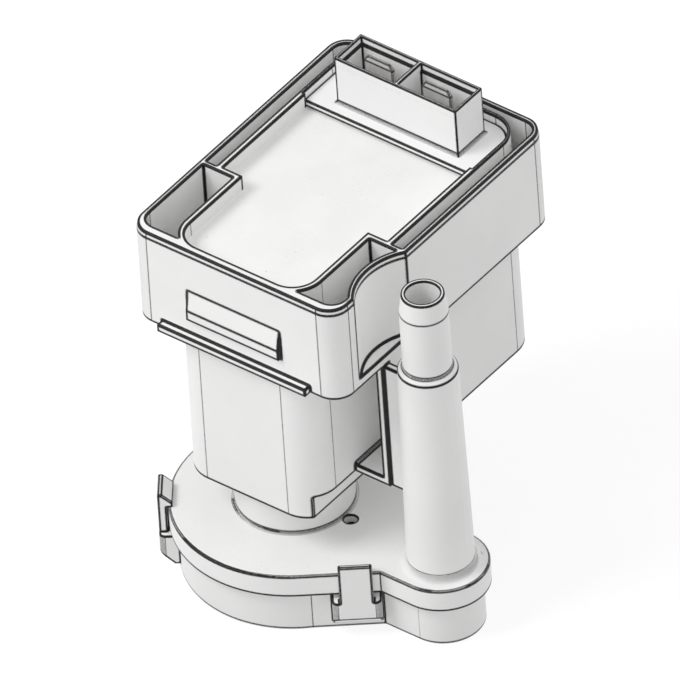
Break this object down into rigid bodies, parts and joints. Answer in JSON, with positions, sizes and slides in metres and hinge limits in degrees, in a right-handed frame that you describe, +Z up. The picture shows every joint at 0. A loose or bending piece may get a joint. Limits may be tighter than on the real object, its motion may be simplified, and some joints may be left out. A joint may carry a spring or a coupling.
{
  "type": "condensate pump",
  "caption": "Small motor pump for condensed water: potted motor in a square collar, clipped-on bowl with bottom inlet and a rising hose spigot.",
  "frame": {"origin": "on the rotor's axis, in the flat underside of the bowl, at the centre of the inlet", "axes": "+Z up along the rotor's axis towards the connector, +X to the outlet pipe, +Y to the back, over the coils"},
  "size_m": [0.0625, 0.0701, 0.0813],
  "materials": {
    "housing_plastic": "moulded, fine satin",
    "head_plastic": "moulded, satin",
    "bowl_plastic": "moulded, satin",
    "connector_plastic": "moulded, satin",
    "potting_resin": "cast, settled flat",
    "tinned_brass": "tinned",
    "bobbin_plastic": "moulded",
    "carrier_plastic": "moulded",
    "impeller_plastic": "moulded",
    "washer_plastic": "smooth",
    "copper_wire": "enamelled copper",
    "lamination_steel": "stamped stack",
    "shaft_steel": "ground",
    "bearing_bronze": "sintered",
    "ferrite": "sintered ferrite",
    "seal_rubber": "moulded rubber"
  },
  "bodies": {
    "housing": {"stator_housing": "housing_plastic", "potting_fill": "potting_resin", "connector_housing": "connector_plastic", "terminal_tab_left": "tinned_brass", "terminal_tab_right": "tinned_brass", "pump_head": "head_plastic", "pump_bowl": "bowl_plastic", "cover_gasket": "seal_rubber", "stator_core": "lamination_steel", "core_yoke": "lamination_steel", "coil_bobbin_left": "bobbin_plastic", "coil_bobbin_right": "bobbin_plastic", "winding_left": "copper_wire", "winding_right": "copper_wire", "coil_lead_left": "copper_wire", "coil_lead_right": "copper_wire", "upper_bearing": "bearing_bronze", "upper_bearing_mount": "seal_rubber", "lower_bearing": "bearing_bronze", "bearing_carrier": "carrier_plastic", "carrier_seal": "seal_rubber"},
    "rotor": {"rotor_shaft": "shaft_steel", "rotor_magnet": "ferrite", "rotor_hub": "carrier_plastic", "thrust_washer_upper": "washer_plastic", "thrust_washer_lower": "washer_plastic", "drive_dog": "carrier_plastic", "impeller_clip": "shaft_steel"},
    "impeller": {"impeller": "impeller_plastic"}
  },
  "joints": [
    {"name": "rotor_spin", "type": "hinge", "parent": "housing", "child": "rotor", "pos_m": [0, 0, 0.04], "axis": [0, 0, 1], "continuous": true},
    {"name": "impeller_free_turn", "type": "hinge", "parent": "rotor", "child": "impeller", "pos_m": [0, 0, 0.007], "axis": [0, 0, 1], "range_deg": [-135, 135]}
  ]
}
